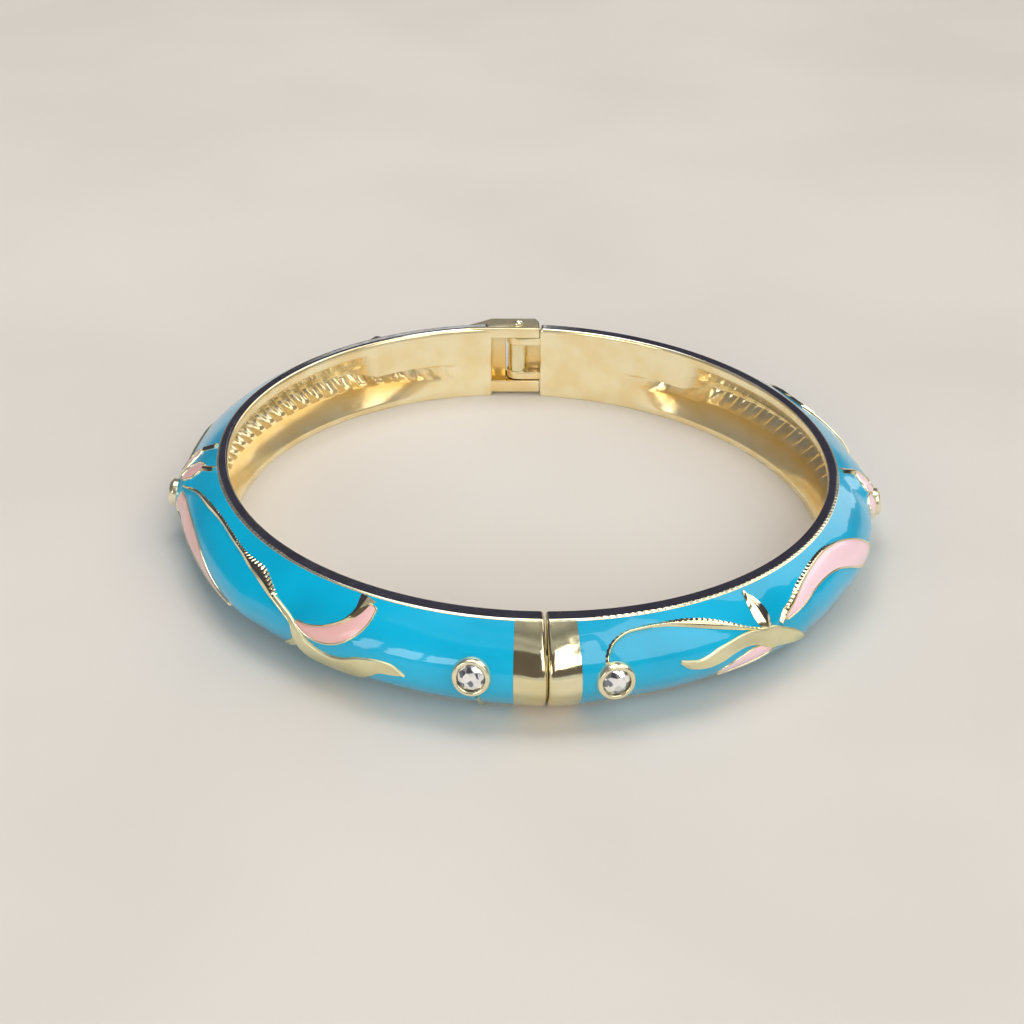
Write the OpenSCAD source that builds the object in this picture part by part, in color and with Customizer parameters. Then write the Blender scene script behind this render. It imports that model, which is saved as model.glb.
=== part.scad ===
// Hinged bangle: two hollow cast halves with enamel flowers, a pinned hinge
// at the back and a tongue clasp at the front. It lies on its side: the ring's
// axis is +Z, the clasp is toward -Y and the hinge toward +Y.

/* [Ring] */
// Inside width along the longer way across
inner_long = 61.2; // [52:0.2:72]
// Inside width along the shorter way across
inner_short = 57.5; // [50:0.2:70]
// Direction of the longer way across, in degrees from +X
long_turn = -47; // [-60:1:-30]
// Height of the wall at the clasp
front_h = 9.05; // [8:0.05:12]
// Height of the wall at the hinge
back_h = 8.4; // [7.6:0.05:11]

/* [Rim and crown] */
// Flat rim's width at the clasp
rim_front = 1.35; // [1:0.05:2]
// Flat rim's width at the sides
rim_side = 0.85; // [0.7:0.05:1.6]
// Flat rim's width at the hinge
rim_back = 1.3; // [1:0.05:2]
// How far the crown swells past the rim at the clasp
crown_front = 3.7; // [2.6:0.1:5]
// How far the crown swells past the rim at the sides
crown_side = 4.3; // [3:0.1:6]
// How far the wall swells past the rim at the hinge
crown_back = 1.65; // [1.4:0.05:2]
// Length over which the crown sinks toward the hinge
crown_run = 19; // [12:0.5:26]

/* [Casting] */
// Thickness of the cast wall behind the enamel
wall = 1.1; // [0.8:0.05:1.6]
// Height of the lips above and below the hollow
lip = 1.05; // [0.8:0.05:1.5]
// Solid length of each half at the hinge
solid_back = 19; // [12:0.5:26]
// Solid length of each half at the clasp
solid_front = 8; // [7:0.5:14]
// Length over which the hollow deepens
hollow_run = 7; // [3:0.5:12]
// Gold line between the rim and the enamel
border = 0.45; // [0.3:0.05:0.8]
// Depth of the enamel's ground below the gold
enamel_t = 0.5; // [0.3:0.05:0.7]
// How far raised gold stands above the enamel
proud = 0.18; // [0.1:0.01:0.3]
// Width of the gold line around each petal
outline = 0.22; // [0.15:0.01:0.35]
// Space between the enamel and the gold
enamel_gap = 0.05; // [0.03:0.01:0.08]

/* [Flowers] */
// Width of the widest petal
bloom_w = 2.5; // [1.8:0.1:3]

/* [Clasp] */
// The clasp seam's place to the right of the hinge-to-clasp line
clasp_x = 1.5; // [0:0.1:3]
// Length of the plain gold band on each side of the clasp seam
clasp_band = 2.55; // [2:0.05:4]
// Space between the closed ends
seam_gap = 0.14; // [0.1:0.02:0.3]
// Length of the clasp's tongue past the seam
tongue_l = 4.4; // [3:0.1:5]
// Height of the clasp's tongue
tongue_h = 3.6; // [2.4:0.1:4.4]
// Thickness of the clasp's tongue
tongue_t = 0.9; // [0.6:0.05:1.2]
// Length of the tongue's root in the right half
tongue_root = 2.2; // [1.5:0.1:3]
// Space around the tongue in the left half
tongue_gap = 0.3; // [0.2:0.05:0.4]

/* [Hinge] */
// The hinge pin's place to the left of the middle
pin_x = 0.6; // [0.4:0.1:1.6]
// Radius of the hinge pin's shaft
pin_r = 0.42; // [0.35:0.01:0.55]
// Radial clearance around the pin
pin_gap = 0.04; // [0.02:0.01:0.08]
// Radius of the pin's domed heads
head_r = 0.56; // [0.55:0.01:0.75]
// Height of the pin's domed heads
head_h = 0.42; // [0.3:0.02:0.5]
// Outer radius of the knuckles around the pin
knuckle_r = 1.42; // [1.2:0.02:1.8]
// Radius of the barrel between the inner knuckles
barrel_r = 1.12; // [0.9:0.02:1.3]
// Reach of the outer knuckles past the pin
ear_reach = 2.4; // [1.9:0.05:2.8]
// Height of the lower outer knuckle
ear_low = 1.4; // [1.2:0.05:2.2]
// Height of the upper outer knuckle
ear_high = 1.2; // [1:0.05:2.4]
// Thickness of each inner knuckle
arm_t = 0.9; // [0.7:0.05:1.2]
// Space above and below the inner knuckles
arm_gap = 0.1; // [0.06:0.02:0.2]
// Length of the window left of the pin
window_l = 3; // [1.8:0.1:3.6]
// Plain gold length at the hinge end of the left half
hinge_band_l = 2.8; // [2:0.1:5]
// Plain gold length at the hinge end of the right half
hinge_band_r = 2.6; // [2:0.1:5]

/* [Stones] */
// Radius of the front stones
stone_r = 1.2; // [1:0.05:1.5]
// Radius of the side stones
side_stone_r = 0.8; // [0.6:0.05:1]
// Width of the metal around each stone
bezel_w = 0.5; // [0.35:0.05:0.7]
// How far each setting stands above the enamel
bezel_h = 0.55; // [0.3:0.05:0.8]
// How far the left side setting stands above the enamel
left_bezel_h = 1.05; // [0.6:0.05:1.2]
// How far the right side setting stands above the enamel
right_bezel_h = 0.75; // [0.6:0.05:1.2]
// Space around each stone
stone_gap = 0.04; // [0.02:0.01:0.08]
// Facets around each stone
stone_sides = 8; // [8:1:12]
// Part of the setting's width that its flat top takes
bezel_flat = 0.7; // [0.4:0.05:0.9]

/* [Hidden] */
$fn = 48;
gold = [0.86, 0.78, 0.5];
blue = [0.05, 0.62, 0.82];
pink = [0.95, 0.74, 0.76];
crystal = [0.92, 0.94, 0.97];
LEFT = -1;
RIGHT = 1;

// How far a cut runs on past the solid that it cuts
past = wall;

mean_r = (inner_long + inner_short) / 4;
function turn_of(length) = length * 180 / (PI * mean_r);

// Seams: where the halves end, as angles from +X
clasp_turn = -90 + turn_of(clasp_x);
seam_x = ear_reach - pin_x;
back_turn = 90 - turn_of(seam_x);
right_span = back_turn - clasp_turn;
left_span = 360 - right_span;
function span(side) = side == RIGHT ? right_span : left_span;
function turn(side, a) = clasp_turn + side * a;

// The ring: inner wall, wall height, rim and crown at each angle
function inner_r(t) = let (q = t - long_turn)
    inner_long * inner_short / 2 / norm([inner_short * cos(q), inner_long * sin(q)]);
function wall_h(t) = (front_h + back_h) / 2 - (front_h - back_h) / 2 * sin(t);
function rim_w(t) = rim_side + ((sin(t) < 0 ? rim_front : rim_back) - rim_side) * pow(sin(t), 2);
function ease(x) = let (q = max(0, min(1, x))) q * q * (3 - 2 * q);
function to_hinge(side, a) = (span(side) - a) * PI * mean_r / 180;
function to_clasp(a) = a * PI * mean_r / 180;
function crown(side, a) = let (t = turn(side, a))
    crown_back + (crown_side + (crown_front - crown_side) * pow(sin(t), 2) - crown_back)
    * ease((to_hinge(side, a) - (side == LEFT ? ear_reach + window_l : hinge_band_r)) / crown_run);

// The ring is moved along Y until its reach is the same both ways
front_reach = inner_r(-90) + rim_front + crown_front;
back_reach = inner_r(90) + max(rim_back + crown_back, 2 * knuckle_r);
centre_y = (front_reach - back_reach) / 2;

// A point of the crowned skin: u runs from -1 at the lower rim to 1 at the
// upper rim, and off is the height above the skin
function across(side, a, u, off) = let (t = turn(side, a), h = wall_h(t), c = crown(side, a),
    n = [h / 2, 2 * c * u] / norm([h / 2, 2 * c * u]))
    [inner_r(t) + rim_w(t) + c * (1 - u * u) + off * n[0], h / 2 * (1 + u) + off * n[1]];
function place(t, rz) = [rz[0] * cos(t), rz[0] * sin(t) + centre_y, rz[1]];
function skin(side, a, u, off) = place(turn(side, a), across(side, a, u, off));

// A solid lofted through closed sections: point i of a section faces its
// point n - 1 - i, so the ends are closed as ladders, and both faces of a
// thin sheet fold along the same diagonals
module loft(sections, side) {
    n = len(sections[0]);
    m = len(sections);
    skin_faces = [for (j = [0:m - 2], i = [0:n - 1])
        let (a = j * n + i, b = j * n + (i + 1) % n)
        each i < n / 2 ? [[a, b + n, b], [a, a + n, b + n]] : [[a, a + n, b], [b, a + n, b + n]]];
    start_face = [for (i = [0:n / 2 - 2])
        let (a = i, b = i + 1, c = n - 2 - i, d = n - 1 - i) each [[a, b, c], [a, c, d]]];
    end_face = [for (f = start_face) [for (i = [2, 1, 0]) f[i] + (m - 1) * n]];
    faces = concat(skin_faces, start_face, end_face);
    polyhedron([for (s = sections) each s],
        side == LEFT ? faces : [for (f = faces) [f[2], f[1], f[0]]]);
}

// Cast shell of one half
ground_u = [-0.72, -0.4, 0, 0.4, 0.72];
function border_u(side, a) = border / norm([wall_h(turn(side, a)) / 2, 2 * crown(side, a)]);
function hollow(side, a) = ease((to_clasp(a) - solid_front) / hollow_run)
    * ease((to_hinge(side, a) - solid_back) / hollow_run);
function shell_section(side, a, ground) =
    let (t = turn(side, a), h = wall_h(t), r = inner_r(t), k = hollow(side, a), b = 1 - border_u(side, a),
        outer = concat([across(side, a, -1, 0), across(side, a, -b, 0), across(side, a, -b, -ground)],
            [for (u = ground_u) across(side, a, u, -ground)],
            [across(side, a, b, -ground), across(side, a, b, 0), across(side, a, 1, 0)]),
        back = [for (u = ground_u) let (q = across(side, a, u, -enamel_t - wall)) [r + k * (q[0] - r), q[1]]],
        inner = concat([[r, 0], [r, lip / 2], [r, lip]], back, [[r, h - lip], [r, h - lip / 2], [r, h]]))
    [for (q = concat(outer, [for (i = [len(inner) - 1:-1:0]) inner[i]])) place(t, q)];

// Widest turn between two sections, in degrees
step = 7.5;
seam_turn = turn_of(seam_gap / 2);
band_turn = turn_of(clasp_band);
function hinge_band(side) = side == LEFT ? ear_reach + window_l + hinge_band_l : hinge_band_r;
function enamel_end(side) = span(side) - turn_of(hinge_band(side));
function shell_end(side) = span(side) - (side == LEFT ? turn_of(ear_reach + window_l) : seam_turn);
function stops(from, to) = let (n = ceil((to - from) / step)) [for (i = [0:n]) from + (to - from) * i / n];

// The ground's wall at each band leans over this many degrees
lean = 0.05;
module shell(side) {
    loft(concat(
        [shell_section(side, seam_turn, 0), shell_section(side, band_turn - lean, 0)],
        [for (a = stops(band_turn, enamel_end(side))) shell_section(side, a, enamel_t)],
        [shell_section(side, enamel_end(side) + lean, 0), shell_section(side, shell_end(side), 0)]), side);
}

// Enamel ground of one half
module enamel_sheet(side) {
    space = turn_of(enamel_gap);
    from = band_turn + space;
    to = enamel_end(side) - space;
    loft([for (q = stops(band_turn, enamel_end(side)))
        let (a = max(from, min(to, q)), b = 1 - border_u(side, a) * (1 + 2 * enamel_gap / border),
            us = concat([-b], ground_u, [b]))
        concat([for (u = us) skin(side, a, u, 0)],
            [for (i = [len(us) - 1:-1:0]) skin(side, a, us[i], enamel_gap - enamel_t)])], side);
}

// Raised and sunk strips on the skin. Each row of a strip is
// [degrees from the clasp seam, place across from -1 to 1, width as a share of
// the widest petal's]
least_w = proud / 4;
function grid_mm(side, a, u) = let (t = turn(side, a), c = crown(side, a))
    [(inner_r(t) + rim_w(t) + c * (1 - u * u)) * PI / 180, norm([wall_h(t) / 2, 2 * c * u])];
module strip(side, rows, grow, low, high) {
    last = len(rows) - 1;
    loft([for (i = [0:last])
        let (p = rows[i], g = grid_mm(side, p[0], p[1]),
            way = rows[min(last, i + 1)] - rows[max(0, i - 1)],
            d = [way[0] * g[0], way[1] * g[1]] / norm([way[0] * g[0], way[1] * g[1]]),
            on = i == 0 ? -grow : i == last ? grow : 0, w = max(least_w, p[2] * bloom_w / 2) + grow,
            c = [p[0] + d[0] * on / g[0], p[1] + d[1] * on / g[1]],
            e = [-d[1] * w / g[0], d[0] * w / g[1]])
        concat([for (k = [1, 0, -1]) skin(side, c[0] + k * e[0], c[1] + k * e[1], low)],
            [for (k = [-1, 0, 1]) skin(side, c[0] + k * e[0], c[1] + k * e[1], high)])], side);
}
function mirrored(rows, middle) = [for (r = rows) [2 * middle - r[0], r[1], r[2]]];

// Flowers of the left half
left_middle = 91;
left_crescent = [[41, 0.27, 0.05], [37.6, 0.23, 0.37], [34, 0.3, 0.58], [31.3, 0.47, 0.62],
    [29.4, 0.67, 0.52], [28.4, 0.88, 0.3]];
left_blade = [[35.3, 0.42, 0.06], [32.2, 0.6, 0.18], [30.5, 0.78, 0.36], [29.9, 0.95, 0.66]];
left_crest = [[57, -0.28, 0.05], [63, -0.14, 0.46], [70, 0, 0.85], [76, 0.1, 0.95], [81, 0.14, 0.9],
    [87, 0.15, 0.75]];
left_lobe = [[90.4, 0.4, 0.3], [90.8, 0.52, 0.8], [90.8, 0.63, 0.9], [90.2, 0.74, 0.55], [89.6, 0.81, 0.2]];
left_back_lobe = [[94.4, 0.34, 0.4], [96.4, 0.5, 0.6], [97.4, 0.72, 0.25]];
left_leaf = [[47, 0.48, 0.25], [43.6, 0.33, 0.26], [41.4, 0.2, 0.3], [40, 0.02, 0.6], [38, -0.2, 0.9],
    [35.2, -0.34, 1.05], [31, -0.32, 1.1], [28, -0.15, 0.88], [25.3, -0.02, 0.55], [22.7, -0.02, 0.4],
    [20.9, -0.08, 0.05]];
left_rib = [[88, 0.42, 0.08], [83.4, 0.63, 0.12], [75.4, 0.77, 0.2], [69, 0.81, 0.17], [61.9, 0.78, 0.18],
    [58, 0.75, 0.2], [55, 0.72, 0.35], [52, 0.68, 0.48], [49, 0.57, 0.4], [46.5, 0.46, 0.26]];
left_stem = [[10.2, -0.35, 0.14], [9.6, -0.92, 0.14]];
left_bar = [[89.4, 0.8, 0.3], [86.9, 0.94, 0.32]];
left_back_bar = [[97.4, 0.75, 0.3], [95.9, 0.94, 0.32]];
left_tip = [[40.5, -0.12, 0.3], [42.3, -0.3, 0.26], [44.2, -0.42, 0.05]];

// Flowers of the right half
right_middle = 82;
right_petal = [[38.8, 0.3, 0.14], [41, 0.4, 0.32], [43.3, 0.49, 0.46], [46.7, 0.59, 0.55], [50.4, 0.64, 0.66],
    [54.2, 0.62, 0.8], [58.4, 0.49, 0.95], [61.7, 0.31, 1], [64.6, 0.12, 0.8], [67, -0.1, 0.6], [69, -0.3, 0.3]];
right_blade = [[37.6, 0.24, 0.2], [38.8, 0.36, 0.31], [40.8, 0.49, 0.26], [43.4, 0.64, 0.29], [46, 0.72, 0.23],
    [49.6, 0.79, 0.22], [53.4, 0.81, 0.18], [58, 0.74, 0.1]];
right_low_petal = [[37, -0.16, 0.08], [34.2, -0.13, 0.5], [32.3, -0.16, 0.7], [30.2, -0.24, 0.74],
    [28.1, -0.34, 0.6], [26.4, -0.46, 0.15]];
right_lobe = [[82.2, 0.3, 1.15], [83, 0.53, 1], [83.6, 0.7, 0.4]];
right_fore_lobe = [[76.8, 0.24, 0.1], [78.4, 0.2, 0.7], [80, 0.14, 0.95]];
right_stem = [[8.8, 0.25, 0.13], [8.7, 0.45, 0.15], [9.6, 0.64, 0.15], [11.8, 0.77, 0.14], [15, 0.81, 0.15],
    [18, 0.81, 0.17], [21, 0.78, 0.29], [24.6, 0.7, 0.36], [28, 0.58, 0.28], [31, 0.45, 0.15], [34, 0.3, 0.16]];
right_leaf = [[19.5, 0.2, 0.14], [20.6, 0.12, 0.3], [22.3, 0.06, 0.38], [24, 0.07, 0.5], [26, 0.14, 0.57],
    [28.2, 0.22, 0.5], [30.3, 0.26, 0.52], [32.5, 0.23, 0.58], [34.9, 0.12, 0.8], [37.2, -0.02, 0.78],
    [40, -0.18, 0.65], [43, -0.4, 0.3], [45, -0.54, 0.05]];
right_sepal = [[33.3, 0.93, 0.08], [33.7, 0.8, 0.42], [34, 0.69, 0.57], [34.3, 0.55, 0.66], [34.5, 0.41, 0.54],
    [34.7, 0.25, 0.3]];
right_bar = [[83.8, 0.7, 0.3], [80.6, 0.93, 0.32]];

function petals(side) = side == LEFT
    ? [left_crescent, left_crest, mirrored(left_crest, left_middle), left_lobe, left_back_lobe,
        mirrored(left_crescent, left_middle)]
    : [right_petal, mirrored(right_petal, right_middle), right_low_petal, right_lobe, right_fore_lobe,
        mirrored(right_fore_lobe, right_middle)];
function vines(side) = side == LEFT
    ? [left_leaf, left_rib, left_stem, left_bar, left_back_bar, left_tip, left_blade,
        mirrored(left_leaf, left_middle), mirrored(left_blade, left_middle)]
    : [right_stem, right_leaf, right_sepal, right_bar, right_blade, mirrored(right_blade, right_middle)];
function middle(side) = side == LEFT ? left_middle : right_middle;

// Stones: [degrees from the clasp seam, place across, radius, height of the setting]
function front_seat(side) = side == LEFT ? [10.9, 0.13, stone_r, bezel_h] : [9.7, 0.04, stone_r, bezel_h];
function side_seat(side) = [middle(side), 0.08, side_stone_r, side == LEFT ? left_bezel_h : right_bezel_h];
function seats(side) = [front_seat(side), side_seat(side)];
module at_seat(side, seat) {
    t = turn(side, seat[0]);
    p = skin(side, seat[0], seat[1], 0);
    n = skin(side, seat[0], seat[1], 1) - p;
    translate(p) rotate([0, acos(n[2]), t]) children();
}
module bezel(seat) {
    r = seat[2] + stone_gap;
    rotate_extrude() polygon([[0, -enamel_t - wall / 2], [r + bezel_w, -enamel_t - wall / 2],
        [r + bezel_w, bezel_h / 2], [r + bezel_w * bezel_flat * bezel_h / seat[3], seat[3]], [0, seat[3]]]);
}
module bezel_hole(seat) {
    translate([0, 0, seat[3] - bezel_h - enamel_t]) cylinder(r = seat[2] + stone_gap, h = enamel_t + 2 * bezel_h);
}
// Room for the setting in the enamel
module stem_hole(side, seat) {
    at_seat(side, seat) translate([0, 0, -past])
        cylinder(r = seat[2] + stone_gap + bezel_w + enamel_gap, h = 2 * past);
}

// Rings of a cut stone, girdle in the middle: [share of its radius, height
// above the girdle as a share of its radius, share of a facet it is turned]
stone_rings = [[0.97, -0.03, 0], [1, 0, 0.5], [0.97, 0.05, 0], [0.58, 0.41, 0.5]];
module cut_stone(seat) {
    r = seat[2];
    raise = seat[3] - bezel_h;
    n = stone_sides;
    ring = function (q) [for (i = [0:n - 1]) let (t = (i + q[2]) * 360 / n)
        [q[0] * r * cos(t), q[0] * r * sin(t), raise + bezel_h / 2 + q[1] * r]];
    at = function (k, i) 1 + k * n + i % n;
    last = len(stone_rings) - 1;
    polyhedron(concat([[0, 0, raise + stone_gap - enamel_t]], [for (q = stone_rings) each ring(q)]),
        concat([for (i = [0:n - 1]) [0, at(0, i), at(0, i + 1)]],
            [for (k = [0:last - 1], i = [0:n - 1]) each k % 2 == 0
                ? [[at(k, i), at(k + 1, i), at(k, i + 1)], [at(k + 1, i), at(k + 1, i + 1), at(k, i + 1)]]
                : [[at(k, i), at(k + 1, i), at(k + 1, i + 1)], [at(k, i), at(k + 1, i + 1), at(k, i + 1)]]],
            [[for (i = [n - 1:-1:0]) at(last, i)]]));
}

// Hinge: outer knuckles on the left half, inner knuckles on the right half
pin_y = inner_r(90) + knuckle_r;
hinge_top = wall_h(90);
relief = head_h + stone_gap;
ear_root = window_l + 2 * knuckle_r;
window_low = relief + ear_low;
window_high = hinge_top - ear_high;
module at_pin() { translate([-pin_x, pin_y + centre_y, 0]) children(); }
module ear(low, high) {
    at_pin() translate([0, 0, low]) linear_extrude(high - low) union() {
        polygon([[-ear_root, -knuckle_r], [0, -knuckle_r], [0, knuckle_r],
            [-window_l, knuckle_r], [-ear_root, -knuckle_r / 3]]);
        translate([0, -knuckle_r]) square([ear_reach, knuckle_r]);
        intersection() {
            circle(r = ear_reach);
            translate([0, -knuckle_r]) square([ear_reach, 2 * knuckle_r]);
        }
    }
}
module arm(low) {
    at_pin() translate([0, 0, low]) {
        cylinder(r = knuckle_r - arm_gap, h = arm_t);
        translate([0, arm_gap - knuckle_r, 0])
            cube([ear_reach + rim_back, 2 * (knuckle_r - arm_gap), arm_t]);
    }
}

// Outer walls that close the hinge's window behind the barrel
module window_back() {
    at_pin() translate([-window_l - arm_gap, 0, window_low - arm_gap])
        cube([window_l + arm_gap - knuckle_r, knuckle_r - arm_gap, window_high - window_low + 2 * arm_gap]);
}
module arm_web() {
    at_pin() translate([0, 0, window_low + arm_gap])
        cube([ear_reach + rim_back, knuckle_r - 2 * arm_gap, window_high - window_low - 2 * arm_gap]);
}
module pin_bore() {
    at_pin() translate([0, 0, -past]) cylinder(r = pin_r + pin_gap, h = hinge_top + 2 * past);
}

// How deep the raised gold and the petals' ground are rooted in the wall
root = -enamel_t - wall / 3;
module half(side) {
    resize([0, 0, 0]) difference() {
        union() {
            shell(side);
            for (rows = vines(side)) strip(side, rows, 0, root, proud);
            for (rows = petals(side)) strip(side, rows, outline, root, 0);
            for (seat = seats(side)) at_seat(side, seat) bezel(seat);
        }
        for (seat = seats(side)) at_seat(side, seat) bezel_hole(seat);
    }
}

// Clasp: a plain tongue seated in the right half, closed into the left half
tongue_y = centre_y - inner_r(-90) - (rim_front + crown_front) / 2;
module tongue_box(left, right, space) {
    translate([clasp_x - left, tongue_y - tongue_t / 2 - space, wall_h(-90) / 2 - tongue_h / 2 - space])
        cube([left + right, tongue_t + 2 * space, tongue_h + 2 * space]);
}

module left_half() {
    color(gold) difference() {
        union() {
            half(LEFT);
            ear(relief, window_low);
            ear(window_high, hinge_top);
            window_back();
        }
        pin_bore();
        tongue_box(tongue_l + tongue_gap, past, tongue_gap);
    }
}
module right_half() {
    color(gold) difference() {
        union() {
            half(RIGHT);
            arm(window_low + arm_gap);
            arm(window_high - arm_gap - arm_t);
            arm_web();
            at_pin() translate([0, 0, window_low + arm_gap])
                cylinder(r = barrel_r, h = window_high - window_low - 2 * arm_gap);
        }
        pin_bore();
        tongue_box(past, tongue_root + stone_gap, stone_gap);
    }
}
module enamel(side) {
    color(blue) resize([0, 0, 0]) difference() {
        enamel_sheet(side);
        for (rows = vines(side)) strip(side, rows, enamel_gap, root, 2 * proud);
        for (rows = petals(side)) strip(side, rows, outline + enamel_gap, root, 2 * proud);
        for (seat = seats(side)) stem_hole(side, seat);
    }
}
module petal_fill(side) {
    color(pink) resize([0, 0, 0]) difference() {
        for (rows = petals(side)) strip(side, rows, 0, enamel_gap, proud);
        for (rows = vines(side)) strip(side, rows, enamel_gap, root, 2 * proud);
        for (seat = seats(side)) stem_hole(side, seat);
    }
}
module hinge_pin() {
    color(gold) at_pin() {
        translate([0, 0, head_h / 2]) cylinder(r = pin_r, h = hinge_top);
        translate([0, 0, hinge_top + stone_gap]) head();
        translate([0, 0, relief - stone_gap]) mirror([0, 0, 1]) head();
    }
}
module head() {
    ball = (head_r * head_r + head_h * head_h) / (2 * head_h);
    intersection() {
        translate([0, 0, head_h - ball]) sphere(r = ball);
        cylinder(r = head_r, h = head_h);
    }
}
module clasp_tongue() { color(gold) tongue_box(tongue_l, tongue_root, 0); }
module stone(side, seat) { color(crystal) at_seat(side, seat) cut_stone(seat); }

left_half();
right_half();
enamel(LEFT);  // left_enamel
enamel(RIGHT);  // right_enamel
petal_fill(LEFT);  // left_petals
petal_fill(RIGHT);  // right_petals
hinge_pin();
clasp_tongue();
stone(LEFT, front_seat(LEFT));  // left_front_stone
stone(RIGHT, front_seat(RIGHT));  // right_front_stone
stone(LEFT, side_seat(LEFT));  // left_side_stone
stone(RIGHT, side_seat(RIGHT));  // right_side_stone
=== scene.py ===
# %% [markdown]
# # A hinged bangle, dressed
#
# A hinged bangle is an oval ring cast in two hollow halves. A pin joins them at
# the back and a tongue snaps them shut at the front. Hard enamel fills the
# sunk ground, and raised metal leaves, stems and petal lines keep the colours
# apart. The frame already holds the halves, the pin and the tongue at their
# real size. This notebook gives them fine surfaces and finishes, one at a time.

# %% Load the frame
import math

import bmesh
import bpy
import numpy as np
from mathutils import Matrix, Vector


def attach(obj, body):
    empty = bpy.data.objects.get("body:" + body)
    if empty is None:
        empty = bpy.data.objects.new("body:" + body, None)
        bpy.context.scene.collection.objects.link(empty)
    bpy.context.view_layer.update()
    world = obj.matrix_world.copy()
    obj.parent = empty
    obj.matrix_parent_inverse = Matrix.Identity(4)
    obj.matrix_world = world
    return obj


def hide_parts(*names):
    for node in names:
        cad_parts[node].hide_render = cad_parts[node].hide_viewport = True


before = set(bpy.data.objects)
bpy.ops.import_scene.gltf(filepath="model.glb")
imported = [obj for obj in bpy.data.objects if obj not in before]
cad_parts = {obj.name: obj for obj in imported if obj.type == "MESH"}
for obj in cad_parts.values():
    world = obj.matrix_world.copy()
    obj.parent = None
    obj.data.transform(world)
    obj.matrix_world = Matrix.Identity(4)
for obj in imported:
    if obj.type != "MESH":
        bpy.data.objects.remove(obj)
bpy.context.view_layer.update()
print("nodes:", sorted(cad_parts))

# %% [markdown]
# ## The bangle's own surface
#
# Every ornament lies on one crowned skin, so the skin is written once, as a
# formula. A place on it is an angle from the clasp seam, in degrees along a
# half, and u, which runs from -1 at the lower rim over 0 at the crest to 1 at
# the upper rim. A sculpted mesh could hold the same shape, but a formula lets
# each later piece ask where the skin is, and in which direction it faces.
# Lengths are in millimetres until a mesh is made.

# %% Sizes of the ring
MM = 0.001
LEFT, RIGHT = -1, 1
SIDES = {LEFT: "left", RIGHT: "right"}
inner_long, inner_short, long_turn = 61.2, 57.5, -47
front_h, back_h = 9.05, 8.4
rim_front, rim_side, rim_back = 1.35, 0.85, 1.3
crown_front, crown_side, crown_back, crown_run = 3.7, 4.3, 1.65, 19
hinge_band_l, hinge_band_r = 2.8, 2.6
clasp_x, clasp_band, seam_gap = 1.5, 2.55, 0.14
pin_x, ear_reach, window_l, knuckle_r = 0.6, 2.4, 3, 1.42
mean_r = (inner_long + inner_short) / 4


def turn_of(length):
    """Degrees round the ring that a length along it takes"""
    return math.degrees(length / mean_r)


clasp_turn = -90 + turn_of(clasp_x)
right_span = 90 - turn_of(ear_reach - pin_x) - clasp_turn
SPAN = {LEFT: 360 - right_span, RIGHT: right_span}
HINGE_BAND = {LEFT: ear_reach + window_l + hinge_band_l, RIGHT: hinge_band_r}
band_turn = turn_of(clasp_band)
seam_turn = turn_of(seam_gap / 2)
ENAMEL_END = {s: SPAN[s] - turn_of(HINGE_BAND[s]) for s in SIDES}
SHELL_END = {LEFT: SPAN[LEFT] - turn_of(ear_reach + window_l), RIGHT: SPAN[RIGHT] - seam_turn}
print("spans of the halves:", {SIDES[s]: round(SPAN[s], 1) for s in SIDES})


# %% The bare ring, at t degrees from +X
def ease(x):
    """0 to 1 with soft ends"""
    q = np.clip(x, 0, 1)
    return q * q * (3 - 2 * q)


def sine(t):
    return np.sin(np.radians(t))


def cosine(t):
    return np.cos(np.radians(t))


def inner_r(t):
    """Radius of the wrist opening at t degrees from +X"""
    q = t - long_turn
    return inner_long * inner_short / 2 / np.hypot(inner_short * cosine(q), inner_long * sine(q))


def wall_h(t):
    return (front_h + back_h) / 2 - (front_h - back_h) / 2 * sine(t)


def rim_w(t):
    end = np.where(sine(t) < 0, rim_front, rim_back)
    return rim_side + (end - rim_side) * sine(t) ** 2


def along_mm(a, radius=mean_r):
    """Millimetres along the ring that a degrees take"""
    return a * math.pi * radius / 180


def to_hinge(side, a):
    """Millimetres along the ring from the angle a to the half's hinge end"""
    return along_mm(SPAN[side] - a)


# %% The crown
# How far the hand-finished crown stands out past the even one: degrees from the clasp seam, mm
SWELL = {
    LEFT: [(0, 0.35), (7, 0.05), (38, 0), (43, -0.35), (49, -0.2), (55, 0.1), (72, -0.25), (84, -0.2),
           (90, 0), (106, -0.15), (114, 0), (180, 0)],
    RIGHT: [(0, 0.35), (7, -0.1), (16, -0.4), (34, -0.4), (38, -0.75), (43, -0.55), (48, -0.75),
            (55, -0.85), (64, -0.55), (73, -0.5), (77, -0.65), (82, -0.1), (88, -0.1), (94, -0.4),
            (106, 0), (180, 0)],
}


def swell(side, a):
    """The unevenness of the crown at the angles a"""
    at, size = np.array(SWELL[side], float).T
    i = np.clip(np.searchsorted(at, a, side="right") - 1, 0, len(at) - 2)
    return size[i] + (size[i + 1] - size[i]) * ease((a - at[i]) / (at[i + 1] - at[i]))


def crown(side, a):
    """How far the crest stands out past the rim"""
    t = clasp_turn + side * a
    full = crown_side + (crown_front - crown_side) * sine(t) ** 2
    flat = ear_reach + window_l if side == LEFT else hinge_band_r
    even = crown_back + (full - crown_back) * ease((to_hinge(side, a) - flat) / crown_run)
    return even + swell(side, a)


front_reach = inner_r(-90) + rim_front + crown_front
back_reach = inner_r(90) + max(rim_back + crown_back, 2 * knuckle_r)
centre_y = float(front_reach - back_reach) / 2
print("the ring's own middle lies at y =", round(centre_y, 2), "mm")

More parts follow.
